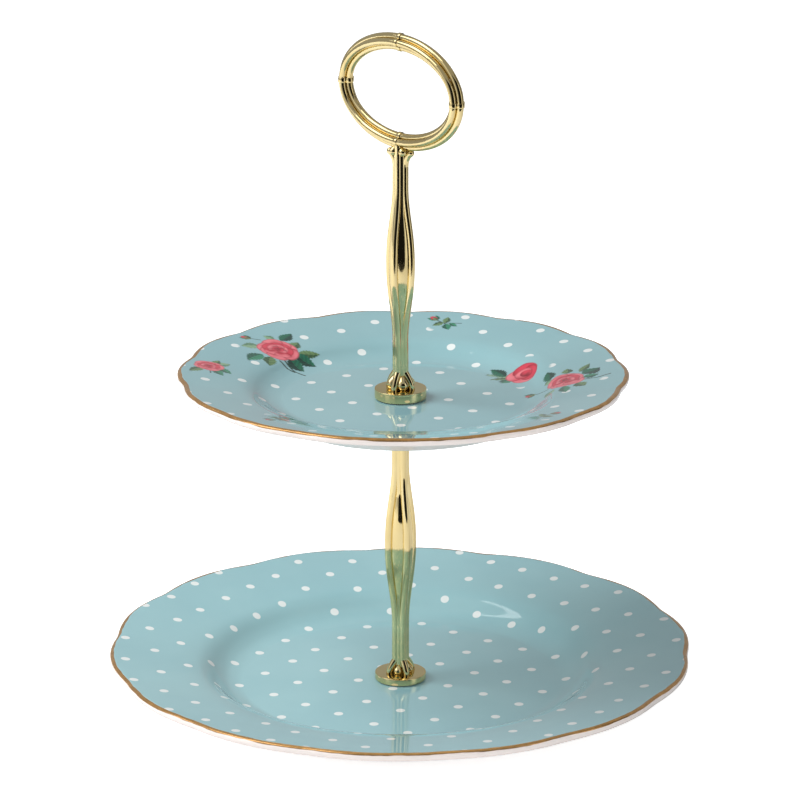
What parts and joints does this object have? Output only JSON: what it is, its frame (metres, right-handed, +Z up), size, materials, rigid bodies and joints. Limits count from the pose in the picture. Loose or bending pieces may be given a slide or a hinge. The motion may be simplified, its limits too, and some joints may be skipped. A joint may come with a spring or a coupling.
{
  "type": "tiered cake stand",
  "caption": "Tiered cake stand: scalloped glazed plates on a reeded metal pillar that unscrews between the tiers, with an oval carrying ring on top.",
  "frame": {"origin": "on the pillar's axis, in the plane that the lower plate's foot rests on", "axes": "+Z up along the pillar; X along the carrying ring's width, so a hand goes through the ring along Y"},
  "size_m": [0.2704, 0.2688, 0.3158],
  "materials": {
    "porcelain": "glossy coloured glaze with a gilded lip and a white underside",
    "gold_metal": "polished gold-plated metal",
    "screw_steel": "zinc-plated steel",
    "clear_vinyl": "soft clear vinyl",
    "white_nylon": "natural white nylon"
  },
  "bodies": {
    "lower_tier": {"lower_plate": "porcelain", "lower_bush": "white_nylon"},
    "base_fixing": {"base_screw": "screw_steel", "base_washer": "gold_metal", "lower_bottom_gasket": "clear_vinyl"},
    "pillar_seat": {"lower_top_gasket": "clear_vinyl"},
    "pillar": {"lower_flange": "gold_metal", "lower_column": "gold_metal", "support_flange": "gold_metal", "upper_bottom_gasket": "clear_vinyl"},
    "upper_tier": {"upper_plate": "porcelain", "upper_bush": "white_nylon"},
    "handle_seat": {"upper_top_gasket": "clear_vinyl"},
    "handle": {"upper_flange": "gold_metal", "upper_column": "gold_metal", "joining_stud": "screw_steel", "ring_handle": "gold_metal", "ring_collar_top": "gold_metal", "ring_collar_right": "gold_metal", "ring_collar_bottom": "gold_metal", "ring_collar_left": "gold_metal"}
  },
  "joints": [
    {"name": "lower_plate_turn", "type": "hinge", "parent": "lower_tier", "child": "base_fixing", "pos_m": [0, 0, 0.004], "axis": [0, 0, 1], "continuous": true},
    {"name": "pillar_lift", "type": "slide", "parent": "base_fixing", "child": "pillar_seat", "axis": [0, 0, 1], "range_m": [0, 0.0084]},
    {"name": "pillar_turn", "type": "hinge", "parent": "pillar_seat", "child": "pillar", "pos_m": [0, 0, 0.0125], "axis": [0, 0, 1], "range_deg": [0, 4320]},
    {"name": "upper_plate_turn", "type": "hinge", "parent": "pillar", "child": "upper_tier", "pos_m": [0, 0, 0.1445], "axis": [0, 0, 1], "continuous": true},
    {"name": "handle_lift", "type": "slide", "parent": "pillar", "child": "handle_seat", "axis": [0, 0, 1], "range_m": [0, 0.0084]},
    {"name": "handle_turn", "type": "hinge", "parent": "handle_seat", "child": "handle", "pos_m": [0, 0, 0.151], "axis": [0, 0, 1], "range_deg": [0, 4320]}
  ],
  "couplings": [
    {"joint": "pillar_turn", "follows": "pillar_lift", "rad_per_m": 8976},
    {"joint": "handle_turn", "follows": "handle_lift", "rad_per_m": 8976}
  ]
}
